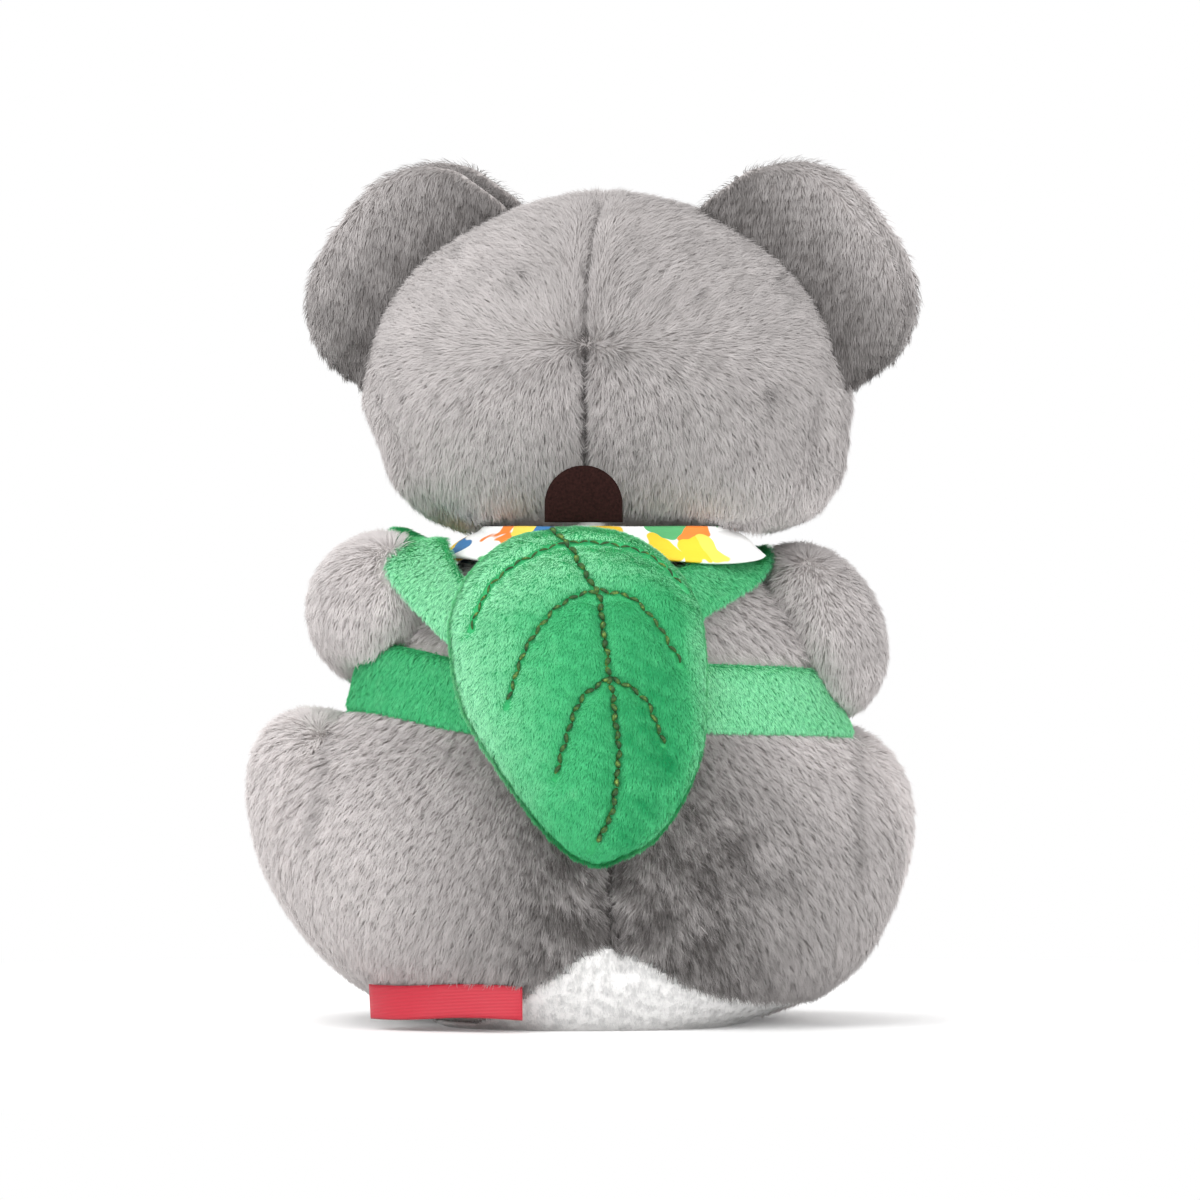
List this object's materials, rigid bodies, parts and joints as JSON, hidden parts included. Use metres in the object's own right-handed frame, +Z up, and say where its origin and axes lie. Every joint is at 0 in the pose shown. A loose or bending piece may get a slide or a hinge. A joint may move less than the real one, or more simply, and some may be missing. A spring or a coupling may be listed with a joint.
{
  "type": "plush koala with a leaf backpack",
  "caption": "Sitting stuffed koala with round ears, a neckerchief and a puffed leaf-shaped backpack on sewn straps; head, ears, arms, legs and leaf move on their seams",
  "frame": {"origin": "on the floor, in the middle of the flat face that the toy sits on", "axes": "+Z up, the koala faces -Y, its own left is +X"},
  "size_m": [0.1635, 0.1514, 0.2178],
  "materials": {
    "grey_plush": "warm grey long-pile plush with darker roots",
    "white_plush": "white short-pile plush",
    "green_plush": "bright green short-pile plush with a soft sheen",
    "brown_felt": "very dark brown felt",
    "printed_cotton": "white woven cotton printed with small bright leaf shapes",
    "red_ribbon": "red woven ribbon, left plain",
    "black_plush": "black short-pile plush",
    "black_plastic": "black polished plastic",
    "white_plastic": "white moulded plastic",
    "stuffing": "polyester fibre stuffing"
  },
  "bodies": {
    "body": {"torso": "grey_plush", "belly_panel": "white_plush", "squeaker_bulb": "white_plastic", "squeaker_reed": "black_plastic", "strap_left": "green_plush", "strap_right": "green_plush", "bandana": "printed_cotton", "label": "red_ribbon"},
    "neck": {"neck_stuffing": "stuffing"},
    "head": {"head": "grey_plush", "muzzle": "white_plush", "nose": "black_plush", "eye_left": "black_plastic", "eye_right": "black_plastic", "eye_washer_left": "white_plastic", "eye_washer_right": "white_plastic"},
    "ear_left": {"ear_left_back": "grey_plush", "ear_left_front": "grey_plush", "ear_left_lining": "white_plush"},
    "ear_right": {"ear_right_back": "grey_plush", "ear_right_front": "grey_plush", "ear_right_lining": "white_plush"},
    "arm_left": {"arm_left": "grey_plush"},
    "arm_right": {"arm_right": "grey_plush"},
    "leg_left": {"leg_left": "grey_plush", "sole_pad_left": "white_plush"},
    "leg_right": {"leg_right": "grey_plush", "sole_pad_right": "white_plush"},
    "leaf": {"leaf_front": "green_plush", "leaf_back": "green_plush", "leaf_stem": "brown_felt"}
  },
  "joints": [
    {"name": "head_turn", "type": "hinge", "parent": "body", "child": "neck", "pos_m": [-0.0045, 0, 0.118], "axis": [0, 0, 1], "range_deg": [-12, 20], "stiffness_Nm_per_rad": 0.3},
    {"name": "head_nod", "type": "hinge", "parent": "neck", "child": "head", "pos_m": [-0.0045, 0, 0.118], "axis": [0.9659, -0.2588, 0], "range_deg": [-4, 8], "stiffness_Nm_per_rad": 0.6},
    {"name": "ear_left_fold", "type": "hinge", "parent": "head", "child": "ear_left", "pos_m": [0.03303, -0.01834, 0.1815], "axis": [0.5678, -0.1521, -0.809], "range_deg": [-15, 15], "stiffness_Nm_per_rad": 0.05},
    {"name": "ear_right_fold", "type": "hinge", "parent": "head", "child": "ear_right", "pos_m": [-0.04617, 0.00288, 0.1815], "axis": [0.5678, -0.1521, 0.809], "range_deg": [-15, 15], "stiffness_Nm_per_rad": 0.05},
    {"name": "arm_left_spread", "type": "hinge", "parent": "body", "child": "arm_left", "pos_m": [0.0495, 0, 0.1055], "axis": [0, 0, 1], "range_deg": [0, 35], "stiffness_Nm_per_rad": 0.05},
    {"name": "arm_right_spread", "type": "hinge", "parent": "body", "child": "arm_right", "pos_m": [-0.0585, 0, 0.1055], "axis": [0, 0, -1], "range_deg": [0, 35], "stiffness_Nm_per_rad": 0.05},
    {"name": "leg_left_splay", "type": "hinge", "parent": "body", "child": "leg_left", "pos_m": [0.052, -0.014, 0.03825], "axis": [0, 0, 1], "range_deg": [0, 12], "stiffness_Nm_per_rad": 0.1},
    {"name": "leg_right_splay", "type": "hinge", "parent": "body", "child": "leg_right", "pos_m": [-0.052, -0.014, 0.03575], "axis": [0, 0, -1], "range_deg": [0, 12], "stiffness_Nm_per_rad": 0.1},
    {"name": "leaf_lift", "type": "hinge", "parent": "body", "child": "leaf", "pos_m": [0.0086, 0.04387, 0.11707], "axis": [1, 0, 0], "range_deg": [0, 8], "stiffness_Nm_per_rad": 0.05}
  ]
}
